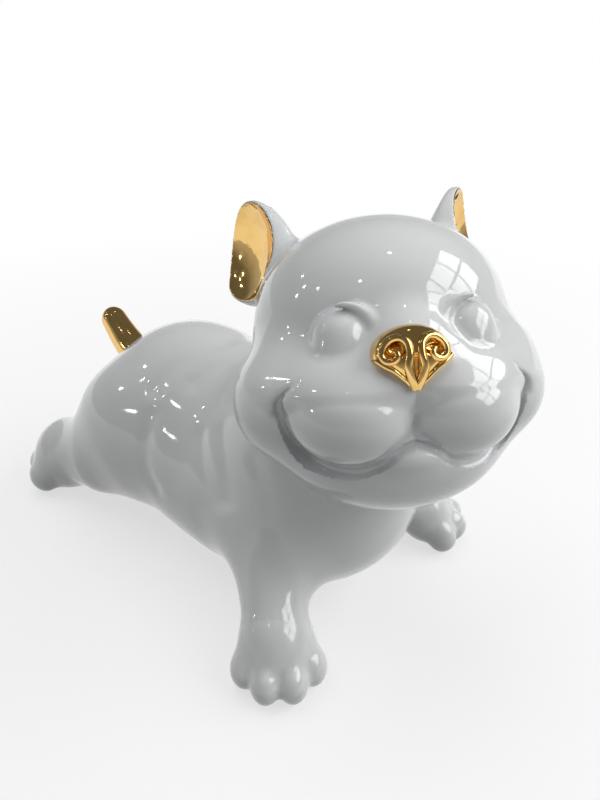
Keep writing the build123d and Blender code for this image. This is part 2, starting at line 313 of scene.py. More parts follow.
class GoldSizes(bpy.types.PropertyGroup):
    """Nose with its scrolls, and tail."""

    nose_place: place("Nose place", "Middle of the nose in the head's axes", (0, -39.5, 0.4))
    nose_half_width: length("Nose half width", "Half width of the nose between its corners", 10.3)
    nose_arch: length("Nose arch", "Height of the nose above its corners", 8.1)
    nose_drop: length("Nose drop", "Reach of the nose below its corners", 8.7)
    nose_root: length("Nose root", "How far the nose reaches back into the face", 5)
    nose_sweep: number("Nose sweep", "How much the nose's lower edges bow inwards", 1.15)
    nose_edge_share: share("Nose edge share", "Distance to a lower edge to the height above it", 0.75)
    dome_place: place("Dome place", "Middle of the swell of the nose's front", (0, 1.8, -0.6))
    dome: size("Dome", "Half sizes of the swell of the nose's front", (13.5, 7.4, 11.5))
    nose_round: length("Nose round", "Rounding of the nose's edge", 2.2)
    nostril_place: place("Nostril place", "Middle of a nostril's hollow", (4.9, -4.4, 2.2))
    nostril: size("Nostril", "Half sizes of a nostril's hollow", (2.7, 1.9, 2))
    nostril_round: length("Nostril round", "Rounding of a nostril's rim", 0.8)
    groove_depth_share: share("Groove depth share", "Where on the drop the groove takes its depth", 0.45)
    groove_lean: length("Groove lean", "How much further back the groove lies at its foot", 1)
    groove_top_radius: length("Groove top radius", "Radius of the groove at its top", 0.7)
    groove_foot_radius: length("Groove foot radius", "Radius of the groove at its foot", 0.5)
    groove_round: length("Groove round", "Rounding of the groove's edges", 0.5)
    scroll_radius: length("Scroll radius", "Half width of a scroll ridge", 1.25)
    scroll_taper: share("Scroll taper", "Width of a ridge at its end to that at its start", 0.7)
    rim_radius: length("Rim radius", "Half width of the rim along the nose's lower edge", 0.75)
    scroll_sink: length("Scroll sink", "How deep the middle of a ridge lies in the nose", 0.25)
    tail_root: place("Tail root", "Start of the tail inside the rump", (0, 66, 54))
    tail_tip: place("Tail tip", "End of the tail's middle line", (0, 97.5, 75))
    tail_bow: place("Tail bow", "Bow of the tail's middle line", (0, 1.5, -2.5))
    tail_root_radius: length("Tail root radius", "Radius of the tail at the rump", 8.7)
    tail_tip_radius: length("Tail tip radius", "Radius of the tail near its tip", 5.2)


class Finish(bpy.types.PropertyGroup):
    """Glaze, gold, floor and the tint of the room."""

    glaze: colour("Glaze", "White of the glaze", (0.755, 0.77, 0.77))
    # Painted shade: the grey towards which hollows are tinted; the glaze's random clouds take a little of it
    # too
    shade_grey: colour("Pooled glaze", "Tint where the glaze lies thick in hollows", (0.62, 0.64, 0.64))
    gold: colour("Gold", "Fired gold lustre", (0.86, 0.57, 0.21))
    worn_gold: colour("Thin gold", "Gold where it lies thin", (0.66, 0.40, 0.13))
    floor: colour("Floor", "Pale floor and backdrop", (0.93, 0.93, 0.93))
    floor_bounce: colour("Floor bounce", "Floor as the figure is lit by it", (0.28, 0.28, 0.28))
    floor_roughness: share("Floor roughness", "Roughness of the floor", 0.7)
    floor_gloss: share("Floor gloss", "Strength of the floor's gloss", 0.1)
    room: colour("Room", "Tint of the room's light", (0.97, 0.985, 1))
    glaze_bend: number("Glaze bend", "Refractive index of the glaze", 1.5)
    glaze_roughness: span("Glaze roughness", "Least and greatest roughness of the glaze", (0.05, 0.10))
    glaze_gloss_scale: number("Glaze gloss scale", "Fineness of the changes in the glaze's gloss", 220)
    coat: share("Coat", "Strength of the glaze's clear top", 0.5)
    coat_roughness: share("Coat roughness", "Roughness of the glaze's clear top", 0.03)
    cloud_scale: number("Cloud scale", "Fineness of the clouds in the glaze", 40)
    cloud_share: share("Cloud share", "How much of the pooled tint the clouds have", 0.12)
    ripple_scale: number("Ripple scale", "Fineness of the glaze's ripple", 90)
    ripple_height: length("Ripple height", "Height of the glaze's ripple", 0.6)
    ripple_strength: share("Ripple strength", "Strength of the glaze's ripple", 0.12)
    thin_scale: number("Thin scale", "Fineness of the thin places in the gold", 160)
    thin_share: share("Thin share", "How much of the thin gold's tint they have", 0.5)
    gold_roughness: span("Gold roughness", "Least and greatest roughness of the gold", (0.06, 0.12))
    gold_gloss_scale: number("Gold gloss scale", "Fineness of the changes in the gold's gloss", 350)
    gold_ripple_scale: number("Gold ripple scale", "Fineness of the gold's unevenness", 260)
    gold_ripple_height: length("Gold ripple height", "Height of the gold's unevenness", 0.5)
    gold_ripple_strength: share("Gold ripple strength", "Strength of the gold's unevenness", 0.15)


class StageSizes(bpy.types.PropertyGroup):
    """Camera, lamps and floor."""

    camera_place: place("Camera place", "Where the camera stands", (-162.5, -170.9, 200))
    camera_turn: turn("Camera turn", "Turn of the view to the right", 47.6)
    camera_drop: turn("Camera drop", "Tilt of the view downwards", 30)
    focal_pixels: number("Focal pixels", "Focal length in image pixels", 700)
    image_height: IntProperty(name="Image height", description="Height of the image in pixels", default=800)
    floor_reach: length("Floor reach", "Half size of the floor", 60000)
    white_start: length("White start", "Distance at which the floor begins to run out into white", 120)
    white_full: length("White full", "Distance from which the floor is plain white", 450)
    white_base: share("White base", "Share of plain white in the floor under the figure", 0.65)
    aim: place("Aim", "Where the lamps point", (0, -40, 80))
    softbox_place: place("Softbox place", "Where the softbox hangs", (0, 300, 1300))
    softbox: width_height("Softbox", "Width and height of the softbox", (1300, 1000))
    softbox_power: number("Softbox power", "Power of the softbox in watts", 8)
    window_place: place("Window place", "Middle of the window", (480, -680, 720))
    window: width_height("Window", "Width and height of the window", (1150, 620))
    window_power: number("Window power", "Power of the window in watts", 7.5)
    panes: IntVectorProperty(
        name="Panes", description="Panes across and up the window", default=(3, 2), size=2
    )
    mullion: length("Mullion", "Width of the bars between the panes", 35)
    spot_distance: length("Spot distance", "Distance of the ceiling spots", 1200)
    spot_size: length("Spot size", "Diameter of a ceiling spot", 55)
    spot_power: number("Spot power", "Power of a ceiling spot in watts", 0.12)
    room_low: number("Room low", "Brightness of the room at the horizon", 0.5)
    room_high: number("Room high", "Brightness of the room overhead", 0.14)
    room_fade: share("Room fade", "Height of a direction from which the room is as dim as overhead", 0.4)


SETTINGS = {
    "puppy_trunk": TrunkSizes,
    "puppy_legs": LegSizes,
    "puppy_head": HeadSizes,
    "puppy_ears": EarSizes,
    "puppy_gold": GoldSizes,
    "puppy_finish": Finish,
    "puppy_stage": StageSizes,
}


# Sculpting with distances: each form gives every point its distance to the form's surface


def swell(points, centre, half_size, axes=None):
    """Distance to an ellipsoid, turned with the given axes."""
    reach = points - np.array(centre)
    if axes is not None:
        reach = reach @ axes
    half_size = np.array(half_size)
    far = np.linalg.norm(reach / half_size, axis=-1) + TINY
    slope = np.linalg.norm(reach / half_size**2, axis=-1) + TINY
    return far * (far - 1) / slope


def taper(points, start, end, start_radius, end_radius):
    """Distance to a round-ended taper."""
    start = np.array(start)
    run = np.array(end) - start
    along = np.clip((points - start) @ run / (run @ run), 0, 1)
    gap = np.linalg.norm(points - start - along[..., None] * run, axis=-1)
    return gap - (start_radius + (end_radius - start_radius) * along)


def merge(a, b, blend):
    """Two forms run together over the blend."""
    mix = np.clip(0.5 + 0.5 * (b - a) / blend, 0, 1)
    return b + (a - b) * mix - blend * mix * (1 - mix)


def carve(a, b, blend):
    """The first form with the second cut out of it, its edge rounded over the blend."""
    return -merge(-a, b, blend)


def overlap(a, b, blend):
    """What both forms share, its edge rounded over the blend."""
    return -merge(-a, -b, blend)


def eased(along):
    """A value that grows softly from nothing to one."""
    along = np.clip(along, 0, 1)
    return along * along * (3 - 2 * along)


def axes_of(*turns):
    """A turning matrix from (axis, angle) pairs, applied from the last to the first."""
    whole = Matrix.Identity(3)
    for axis, angle in turns:
        whole = whole @ Matrix.Rotation(angle, 3, axis)
    return np.array(whole)


def mirrored(points):
    """Points with both sides folded onto the left one."""
    folded = points.copy()
    folded[..., 0] = np.abs(folded[..., 0])
    return folded


def smooth_route(points, steps=ROUTE_STEPS):
    """A polyline through given points, rounded between them."""
    points = np.array(points, float)
    ends = np.vstack([2 * points[0] - points[1], points, 2 * points[-1] - points[-2]])
    route = []
    for a, b, c, d in zip(ends, ends[1:], ends[2:], ends[3:]):
        for t in np.arange(steps) / steps:
            spot = 2 * b + (c - a) * t
            spot = spot + (2 * a - 5 * b + 4 * c - d) * t**2 + (3 * b - a - 3 * c + d) * t**3
            route.append(spot / 2)
    return np.array(route + [points[-1]])


def route_gap(points, route, widths=None, reach=ROUTE_REACH):
    """Distance to a polyline and, where widths are given, the width at the nearest place."""
    gaps = np.full(points.shape[:-1], 1.0)
    spread = np.zeros_like(gaps)
    near = ((points > route.min(0) - reach) & (points < route.max(0) + reach)).all(-1)
    close = points[near]
    best = np.full(len(close), 1.0)
    width = np.zeros_like(best)
    for i, (start, end) in enumerate(zip(route, route[1:])):
        run = end - start
        along = np.clip((close - start) @ run / (run @ run + TINY), 0, 1)
        gap = np.linalg.norm(close - start - along[..., None] * run, axis=-1)
        nearer = gap < best
        best = np.where(nearer, gap, best)
        if widths is not None:
            width = np.where(nearer, widths[i] + (widths[i + 1] - widths[i]) * along, width)
    gaps[near] = best
    spread[near] = width
    return gaps if widths is None else (gaps, spread)


# Lines of the face on its left side, in millimetres in the head's own axes. The mouth
# is drawn as seen from the front, across and up. A line runs out where its radius is less than nothing.
MOUTH = (
    (33.6, -9.5), (32.9, -12.5), (31.3, -16.2), (28.9, -20.4), (25.4, -24.6),
    (20.8, -27.6), (15, -28.9), (9.5, -27.3), (4.5, -23.8), (0, -22.2),
)
MOUTH_WIDTHS = (1.2, 1.8, 2.7, 3.6, 3.9, 2.9, 2, 1.6, 1.4, 1.3)
MOUTH_DEPTHS = (0.6, 1.6, 2.8, 3.4, 3, 2, 1.4, 1.2, 1.1, 1.1)
UPPER_LID = (
    (23.5, -27, 12.8), (21.3, -29.6, 14), (18.3, -31.2, 14.9), (14.8, -31.8, 14.6),
    (11.4, -32, 12.4), (9.3, -32.4, 8.8), (8.7, -31.5, 4.5),
)
LID_RADII = (-1.6, -0.5, 0.5, 0.9, 0.9, 0.5, -0.8)
FOLD = ((28.5, -33.5, -4), (31.3, -31.5, -6.5), (33.2, -29.2, -9), (33.8, -28.4, -11.5))
FOLD_RADII = (-1.5, -0.3, 0.6, 1)

# Soft folds of the trunk on its left side, in millimetres
BODY_FOLDS = (
    ((28.5, 26, 71), (22.8, 25, 75.5), (14.2, 22.4, 79.4), (0, 20.4, 81.5)),
    ((19.6, 12.8, 75.1), (11.7, 10.9, 78), (0, 9.4, 79.4)),
    ((32.6, -3.7, 64.2), (38.3, -11.9, 57.5), (41.4, -21.3, 50.4)),
    ((31.6, -14.2, 70), (37.6, -22.9, 62.4), (41, -26.8, 53.1)),
    ((34.9, -35.1, 71), (36.7, -40.4, 62.1), (38, -45.1, 49.8)),
    ((34.5, 21.9, 63.3), (39.8, 20.7, 52.2), (41.7, 18.6, 43.5), (42, 13.9, 38.1)),
)


class Figure:
    """The whole sculpt, read from the scene's settings."""

    SEATS = {"trunk": None, "head": "trunk", "ears": "head", "forelegs": "trunk", "hindlegs": "trunk"}
    SEAM_OVERLAP = 3 * MM
    SEAM_SINK = 0.5 * MM

    def __init__(self, scene):
        self.trunk_sizes = scene.puppy_trunk
        self.leg_sizes = scene.puppy_legs
        self.head_sizes = scene.puppy_head
        self.ear_sizes = scene.puppy_ears
        self.gold_sizes = scene.puppy_gold
        h = self.head_sizes
        self.head_axes = axes_of(("Z", h.look_turn), ("X", -h.look_lift), ("Y", h.look_tilt))
        e = self.ear_sizes
        self.ear_axes = axes_of(("Z", e.ear_turn), ("X", e.ear_lean), ("Y", e.ear_flare))
        self.mouth = smooth_route(np.column_stack([MOUTH, MOUTH_WIDTHS, MOUTH_DEPTHS]), FACE_STEPS) * MM
        self.body_folds = [smooth_route(fold, FOLD_STEPS) * MM for fold in BODY_FOLDS]
        self.upper_lid = smooth_route(UPPER_LID, FACE_STEPS) * MM
        self.lid_radii = smooth_route(np.array(LID_RADII)[:, None], FACE_STEPS)[:, 0] * MM
        self.fold = smooth_route(FOLD, FACE_STEPS) * MM
        self.fold_radii = smooth_route(np.array(FOLD_RADII)[:, None], FACE_STEPS)[:, 0] * MM

    def to_head(self, points):
        """Points in the head's own axes."""
        return (points - np.array(self.head_sizes.centre)) @ self.head_axes

    def head_matrix(self, offset=(0, 0, 0)):
        """The head's place and turn, with an offset in its own axes."""
        turned = Matrix(self.head_axes.tolist()).to_4x4()
        return Matrix.Translation(self.head_sizes.centre) @ turned @ Matrix.Translation(offset)

    def trunk(self, points):
        """Chest, belly, rump and neck."""
        s = self.trunk_sizes
        form = swell(points, s.chest_place, s.chest)
        form = merge(form, swell(points, s.belly_place, s.belly), s.trunk_blend)
        form = merge(form, swell(points, s.rump_place, s.rump), s.trunk_blend)
        neck = taper(points, s.neck_root, s.neck_top, s.neck_root_radius, s.neck_top_radius)
        form = merge(form, neck, s.neck_blend)
        folded = mirrored(points)
        for fold in self.body_folds:
            gap = route_gap(folded, fold, reach=FOLD_REACH_WIDTHS * s.fold_width)
            form = form + s.fold_depth * np.exp(-((gap / s.fold_width) ** 2))
        return form

    def paw(self, points, ground, angle, scale=1.0):
        """A paw with four toes, standing on its ground point."""
        s = self.leg_sizes
        local = (points - np.array(ground)) @ axes_of(("Z", angle)) / scale
        form = swell(local, s.palm_place, s.palm)
        for toe in (s.outer_toe, s.inner_toe):
            for side in (-1, 1):
                middle = (side * toe[0], toe[1], s.toe_height)
                form = merge(form, swell(local, middle, s.toe), s.toe_blend)
        return form * scale

    def forelegs(self, points):
        """Both forelegs."""
        s = self.leg_sizes
        outwards = np.clip(points[..., :1] / s.wrist[0], 0, 1)
        folded = mirrored(points) - np.array(s.left_paw_shift) * outwards**2
        form = taper(folded, s.shoulder, s.wrist, s.shoulder_radius, s.wrist_radius)
        return merge(form, self.paw(folded, s.fore_paw, s.fore_paw_turn), s.shank_blend)

    def hindlegs(self, points):
        """Both hind legs."""
        s = self.leg_sizes
        folded = mirrored(points)
        form = swell(folded, s.thigh_place, s.thigh)
        form = merge(form, taper(folded, s.knee, s.hock, s.knee_radius, s.hock_radius), s.hind_blend)
        return merge(form, self.paw(folded, s.hind_paw, s.hind_paw_turn, s.hind_paw_scale), s.shank_blend)

    def mouth_press(self, folded):
        """How deep the line of the mouth is pressed into the front of the face."""
        s = self.head_sizes
        line, widths, depths = self.mouth[:, :2], self.mouth[:, 2], self.mouth[:, 3]
        seen = folded[..., [0, 2]]
        gap, width = route_gap(seen, line, widths)
        depth = route_gap(seen, line, depths)[1]
        front = np.clip((s.mouth_front - folded[..., 1]) / s.mouth_fade, 0, 1)
        return front * depth * np.clip(1 - (gap / (width + TINY)) ** 2, 0, 1)

    def head(self, local):
        """The head with its face, in its own axes."""
        s = self.head_sizes
        local = local.copy()
        local[..., 0] -= s.brow_shift * eased((local[..., 2] - s.brow_start) / s.brow_span)
        folded = mirrored(local)
        form = swell(local, s.crown_place, s.crown)
        form = merge(form, swell(local, s.jowl_place, s.jowl), s.jowl_blend)
        form = merge(form, swell(folded, s.cheek_place, s.cheek), s.cheek_blend)
        form = merge(form, swell(local, s.jaw_place, s.jaw), s.jaw_blend)
        form = merge(form, swell(local, s.lip_place, s.lip), s.lip_blend)
        form = form + self.mouth_press(folded)
        form = merge(form, swell(local, s.snout_place, s.snout), s.muzzle_blend)
        form = merge(form, swell(local, s.bridge_place, s.bridge), s.muzzle_blend)
        form = merge(form, swell(folded, s.eye_place, s.eye), s.eye_blend)
        lid, radius = route_gap(folded, self.upper_lid, self.lid_radii)
        form = merge(form, lid - radius, s.lid_blend)
        lobe = swell(folded, s.lobe_place, s.lobe)
        lobe = merge(lobe, swell(folded, s.lobe_end_place, s.lobe_end), s.lobe_end_blend)
        softness = eased((local[..., 2] - s.crease_top) / s.crease_fade)
        form = merge(form, lobe, s.lip_crease + (s.lobe_blend - s.lip_crease) * softness)
        fold, radius = route_gap(folded, self.fold, self.fold_radii)
        return carve(form, fold - radius, s.fold_blend)

    def ear_local(self, local):
        """Points in the axes of the ear, both ears folded onto the left one."""
        return (mirrored(local) - np.array(self.ear_sizes.ear_place)) @ self.ear_axes

    def ears(self, local):
        """Both ears, uncut."""
        s = self.ear_sizes
        across, thick, half = s.leaf
        ear = self.ear_local(local) + np.array((0, 0, s.leaf_widest))
        upwards = np.clip(ear[..., 2] / (half + s.leaf_widest), 0, 1)
        ear[..., 1] += s.leaf_bow * upwards**2
        pinch = 1 - s.leaf_pinch * upwards
        ear[..., 1] = np.where(ear[..., 1] > 0, ear[..., 1] / pinch, ear[..., 1])
        slim = swell(ear, (0, 0, 0), (across, thick, half + s.leaf_widest))
        blunt = swell(ear, (0, 0, 0), (across, thick, half - s.leaf_widest))
        return np.where(ear[..., 2] > 0, slim, blunt)

    def cups(self, local):
        """The hollows of both ears."""
        return swell(self.ear_local(local), self.ear_sizes.cup_place, self.ear_sizes.cup)

    def forms(self, points):
        """Distances to each part, to the uncut whole and to the whole with its ear cups."""
        local = self.to_head(points)
        forms = {
            "trunk": self.trunk(points),
            "forelegs": self.forelegs(points),
            "hindlegs": self.hindlegs(points),
            "head": self.head(local),
            "ears": self.ears(local),
        }
        whole = merge(forms["trunk"], forms["forelegs"], self.leg_sizes.fore_blend)
        whole = merge(whole, forms["hindlegs"], self.leg_sizes.hind_blend)
        top = merge(forms["head"], forms["ears"], self.ear_sizes.ear_blend)
        whole = merge(whole, top, self.head_sizes.head_blend)
        forms["uncut"] = overlap(whole, -points[..., 2], self.trunk_sizes.base_round)
        forms["cups"] = self.cups(local)
        forms["whole"] = carve(forms["uncut"], forms["cups"], self.ear_sizes.cup_round)
        return forms

    def whole(self, points):
        """Distance to the glazed skin."""
        return self.forms(points)["whole"]

    def piece(self, points, part):
        """Distance to one part's share of the skin. It runs a little under the part that carries it."""
        forms = self.forms(points)
        own, whole, seat = forms[part], forms["whole"], self.SEATS[part]
        form = whole
        if seat:
            lean = (own - forms[seat]) / 2
            sink = self.SEAM_SINK * np.clip(lean / self.SEAM_OVERLAP, 0, 1) ** 2
            form = np.maximum(whole + sink, lean - self.SEAM_OVERLAP)
            form = np.maximum(form, -forms[seat] - self.SEAM_OVERLAP)
        for rider, carrier in self.SEATS.items():
            if carrier == part:
                form = np.maximum(form, np.minimum((own - forms[rider]) / 2, own))
        return form

    def linings(self, points):
        """Distance to the gilded linings of both ear cups."""
        s = self.ear_sizes
        forms = self.forms(points)
        dish = np.maximum(forms["cups"] - s.gilding_root, -forms["cups"] - s.gilding)
        return np.maximum(dish, forms["uncut"] + s.gilding_inset)

    def nose_front(self, x, z):
        """Depth of the nose's domed front, from the nose's middle."""
        s = self.gold_sizes
        flat = ((x - s.dome_place[0]) / s.dome[0]) ** 2 + ((z - s.dome_place[2]) / s.dome[2]) ** 2
        return s.dome_place[1] - s.dome[1] * np.sqrt(np.maximum(1 - flat, 0))

    def nose(self, points):
        """Distance to the nose without its scrolls: an arch over a pointed shield, with a domed front."""
        s = self.gold_sizes
        local = self.to_head(points) - np.array(s.nose_place)
        across = np.abs(local[..., 0])
        height = local[..., 2]
        arch = np.hypot(across / s.nose_half_width, height / s.nose_arch)
        slope = np.hypot(across / s.nose_half_width**2, height / s.nose_arch**2) + TINY
        above = arch * (arch - 1) / slope
        narrowing = np.clip(1 - across / s.nose_half_width, 0, 1)
        edge = -s.nose_drop * narrowing**s.nose_sweep
        below = np.maximum(edge - height, across - s.nose_half_width) * s.nose_edge_share
        outline = np.where(height > 0, above, below)
        form = overlap(outline, swell(local, s.dome_place, s.dome), s.nose_round)
        form = np.maximum(form, local[..., 1] - s.nose_root)
        folded = mirrored(local)
        form = carve(form, swell(folded, s.nostril_place, s.nostril), s.nostril_round)
        front = float(self.nose_front(0, -s.groove_depth_share * s.nose_drop))
        foot = (0, front + s.groove_lean, -s.nose_drop)
        groove = taper(local, (0, front, 0), foot, s.groove_top_radius, s.groove_foot_radius)
        return carve(form, groove, s.groove_round)


def gradient(field, points, step=SLOPE_STEP):
    """Slope of a distance at points."""
    slope = np.empty_like(points)
    for axis in range(3):
        shift = np.zeros(3)
        shift[axis] = step
        slope[:, axis] = (field(points + shift) - field(points - shift)) / (2 * step)
    return slope


def sampled(field, low, high, cell, block=BLOCK_CELLS):
    """Distances on a grid, worked out only in blocks near the surface."""
    counts = [int(np.ceil((h - l) / cell / block)) for l, h in zip(low, high)]
    shape = [c * block + 1 for c in counts]
    values = np.empty(shape)
    steps = [np.arange(c) * block for c in counts]
    starts = np.stack(np.meshgrid(*steps, indexing="ij"), -1).reshape(-1, 3)
    middles = np.array(low) + (starts + block / 2) * cell
    rough = field(middles)
    near = np.abs(rough) < block * cell * NEAR_BLOCKS
    corner = np.stack(np.meshgrid(*[np.arange(block + 1)] * 3, indexing="ij"), -1)
    for start, value, close in zip(starts, rough, near):
        i, j, k = start
        spot = values[i : i + block + 1, j : j + block + 1, k : k + block + 1]
        if not close:
            spot[...] = value
    chosen = starts[near]
    for batch in np.array_split(chosen, max(1, len(chosen) // BLOCK_BATCH)):
        grid = batch[:, None, None, None, :] + corner
        result = field(np.array(low) + grid.reshape(-1, 3) * cell).reshape(grid.shape[:-1])
        for (i, j, k), spot in zip(batch, result):
            values[i : i + block + 1, j : j + block + 1, k : k + block + 1] = spot
    for side in (values, values.transpose(1, 0, 2), values.transpose(2, 0, 1)):
        side[0] = np.maximum(side[0], cell)
        side[-1] = np.maximum(side[-1], cell)
    return values


CORNERS = np.array([(i, j, k) for i in (0, 1) for j in (0, 1) for k in (0, 1)])
EDGES = [(a, b) for a in range(8) for b in range(a + 1, 8) if np.abs(CORNERS[a] - CORNERS[b]).sum() == 1]


def net(values):
    """Quads of the zero surface of a grid, one corner point in each crossed cell."""
    size_x, size_y, size_z = (n - 1 for n in values.shape)
    at_corner = [values[i : i + size_x, j : j + size_y, k : k + size_z] for i, j, k in CORNERS]
    count_inside = sum((v < 0).astype(np.int8) for v in at_corner)
    cells = np.argwhere((count_inside > 0) & (count_inside < 8))
    held = np.stack([v[tuple(cells.T)] for v in at_corner], -1)
    total = np.zeros((len(cells), 3))
    crossings = np.zeros(len(cells))
    for a, b in EDGES:
        crossed = (held[:, a] < 0) != (held[:, b] < 0)
        along = held[:, a] / np.where(crossed, held[:, a] - held[:, b], 1)
        total += crossed[:, None] * (CORNERS[a] + (CORNERS[b] - CORNERS[a]) * along[:, None])
        crossings += crossed
    points = cells + total / crossings[:, None]
    index = np.full((size_x, size_y, size_z), -1)
    index[tuple(cells.T)] = np.arange(len(cells))
    quads = []
    for axis in range(3):
        u, v = (axis + 1) % 3, (axis + 2) % 3
        ahead = np.eye(3, dtype=int)[axis]
        first = values[tuple(slice(0, n - d) for n, d in zip(values.shape, ahead))]
        second = values[tuple(slice(d, n) for n, d in zip(values.shape, ahead))]
        edges = np.argwhere((first < 0) != (second < 0))
        leaving = first[tuple(edges.T)] < 0
        ring = []
        for du, dv in ((1, 1), (0, 1), (0, 0), (1, 0)):
            cell = edges.copy()
            cell[:, u] -= du
            cell[:, v] -= dv
            ring.append(index[tuple(cell.T)])
        ring = np.stack(ring, -1)
        ring[~leaving] = ring[~leaving][:, ::-1]
        quads.append(ring)
    return points, np.vstack(quads)


def sculpted(name, field, low, high, cell, shade=None):
    """A closed mesh object of a distance's zero surface, its shading taken from the given distance."""
    low = np.array(low) - MARGIN_CELLS * cell
    high = np.array(high) + MARGIN_CELLS * cell
    points, quads = net(sampled(field, low, high, cell))
    points = low + points * cell
    for _ in range(SETTLING_STEPS):
        slope = gradient(field, points)
        step = field(points)[:, None] * slope / ((slope**2).sum(-1, keepdims=True) + TINY)
        points = points - np.clip(step, -cell / 2, cell / 2)
    mesh = bpy.data.meshes.new(name)
    mesh.from_pydata(points.tolist(), [], quads.tolist())
    mesh.polygons.foreach_set("use_smooth", np.ones(len(mesh.polygons), bool))
    normals = gradient(field, points, SHADING_STEP)
    if shade is not None:
        on_skin = np.abs(shade(points)) < cell / 2
        normals[on_skin] = gradient(shade, points[on_skin], SHADING_STEP)
    normals /= np.linalg.norm(normals, axis=-1, keepdims=True) + TINY
    mesh.normals_split_custom_set_from_vertices(normals.tolist())
    return new_piece(name, mesh), points, normals


def new_piece(name, mesh):
    """An object at the origin for a finished mesh."""
    piece = bpy.data.objects.new(name, mesh)
    bpy.context.scene.collection.objects.link(piece)
    return piece


def strand_tree():
    """Geometry nodes for a round strand along a curve, tapered, with a rounded tip and a mirrored twin."""
    tree = bpy.data.node_groups.get("strand")
    if tree:
        return tree
    tree = bpy.data.node_groups.new("strand", "GeometryNodeTree")
    sockets = (
        ("Curve", "Geometry"),
        ("Rings", "Int"),
        ("Sides", "Int"),
        ("Root Radius", "Float"),
        ("Tip Radius", "Float"),
        ("Tip Share", "Float"),
        ("Twin", "Bool"),
        ("Material", "Material"),
    )
    for label, kind in sockets:
        tree.interface.new_socket(label, in_out="INPUT", socket_type=f"NodeSocket{kind}")
    tree.interface.new_socket("Mesh", in_out="OUTPUT", socket_type="NodeSocketGeometry")
    given = tree.nodes.new("NodeGroupInput").outputs

    def add(kind, links, **settings):
        node = tree.nodes.new(kind)
        for key, value in settings.items():
            setattr(node, key, value)
        for socket, source in links.items():
            if isinstance(source, bpy.types.NodeSocket):
                tree.links.new(source, node.inputs[socket])
            else:
                node.inputs[socket].default_value = source
        return node.outputs

    def calculate(operation, first, second=0.0):
        return add("ShaderNodeMath", {0: first, 1: second}, operation=operation)[0]

    line = add("GeometryNodeResampleCurve", {"Curve": given["Curve"], "Count": given["Rings"]})[0]
    along = add("GeometryNodeSplineParameter", {})["Factor"]
    width = calculate("SUBTRACT", given["Tip Radius"], given["Root Radius"])
    width = calculate("ADD", calculate("MULTIPLY", width, along), given["Root Radius"])
    ahead = calculate("SUBTRACT", along, calculate("SUBTRACT", 1.0, given["Tip Share"]))
    ahead = calculate("MAXIMUM", calculate("DIVIDE", ahead, given["Tip Share"]), 0.0)
    ahead = calculate("MINIMUM", ahead, TIP_CLOSING)
    rounding = calculate("SQRT", calculate("SUBTRACT", 1.0, calculate("MULTIPLY", ahead, ahead)))
    ring = add("GeometryNodeCurvePrimitiveCircle", {"Resolution": given["Sides"], "Radius": 1.0})[0]
    thickness = calculate("MULTIPLY", width, rounding)
    links = {"Curve": line, "Profile Curve": ring, "Scale": thickness, "Fill Caps": True}
    strand = add("GeometryNodeCurveToMesh", links)[0]
    twin = add("GeometryNodeTransform", {"Geometry": strand, "Scale": (-1, 1, 1)})[0]
    twin = add("GeometryNodeFlipFaces", {"Mesh": twin})[0]
    pair = tree.nodes.new("GeometryNodeJoinGeometry")
    for part in (twin, strand):
        tree.links.new(part, pair.inputs[0])
    links = {"Switch": given["Twin"], "False": strand, "True": pair.outputs[0]}
    chosen = add("GeometryNodeSwitch", links, input_type="GEOMETRY")[0]
    chosen = add("GeometryNodeRealizeInstances", {"Geometry": chosen})[0]
    chosen = add("GeometryNodeSetShadeSmooth", {"Geometry": chosen})[0]
    chosen = add("GeometryNodeSetMaterial", {"Geometry": chosen, "Material": given["Material"]})[0]
    tree.links.new(chosen, tree.nodes.new("NodeGroupOutput").inputs[0])
    return tree


def strand(name, route, inputs):
    """A mesh of a round strand along a route."""
    curve = bpy.data.curves.new(name, "CURVE")
    curve.dimensions = "3D"
    spline = curve.splines.new("POLY")
    spline.points.add(len(route) - 1)
    spline.points.foreach_set("co", np.column_stack([route, np.ones(len(route))]).ravel())
    holder = new_piece(name, curve)
    tree = strand_tree()
    modifier = holder.modifiers.new(name, "NODES")
    modifier.node_group = tree
    for item in tree.interface.items_tree:
        if item.item_type == "SOCKET" and item.in_out == "INPUT" and item.name in inputs:
            modifier[item.identifier] = inputs[item.name]
    evaluated = holder.evaluated_get(bpy.context.evaluated_depsgraph_get())
    mesh = bpy.data.meshes.new_from_object(evaluated)
    holder.modifiers.remove(modifier)
    bpy.data.objects.remove(holder)
    bpy.data.curves.remove(curve)
    mesh.name = name
    return mesh


def store_painted_shade(piece, figure, points, normals):
    """Keep how deep each point lies in a hollow, as painted shade that greys the glaze there."""
    shade_grey = np.zeros(len(points))
    for reach in SHADE_REACHES:
        felt = np.clip(1 - figure.whole(points + normals * reach) / reach, 0, 1)
        shade_grey += felt / len(SHADE_REACHES)
    attribute = piece.data.attributes.new("painted_shade", "FLOAT", "POINT")
    attribute.data.foreach_set("value", shade_grey.astype(np.float32))


# Finishes


def principled(name):
    """A new material with its node tree and its surface shader."""
    material = bpy.data.materials.new(name)
    material.use_nodes = True
    tree = material.node_tree
    return material, tree, tree.nodes["Principled BSDF"]


def noise(tree, scale, detail=2.0):
    """A noise on object coordinates."""
    coordinates = tree.nodes.new("ShaderNodeTexCoord")
    texture = tree.nodes.new("ShaderNodeTexNoise")
    texture.inputs["Scale"].default_value = scale
    texture.inputs["Detail"].default_value = detail
    tree.links.new(coordinates.outputs["Object"], texture.inputs["Vector"])
    return texture.outputs["Fac"]


def ranged(tree, source, given, wanted):
    """A value spread from one span to another."""
    node = tree.nodes.new("ShaderNodeMapRange")
    for socket, value in zip(("From Min", "From Max", "To Min", "To Max"), (*given, *wanted)):
        node.inputs[socket].default_value = value
    tree.links.new(source, node.inputs["Value"])
    return node.outputs["Result"]


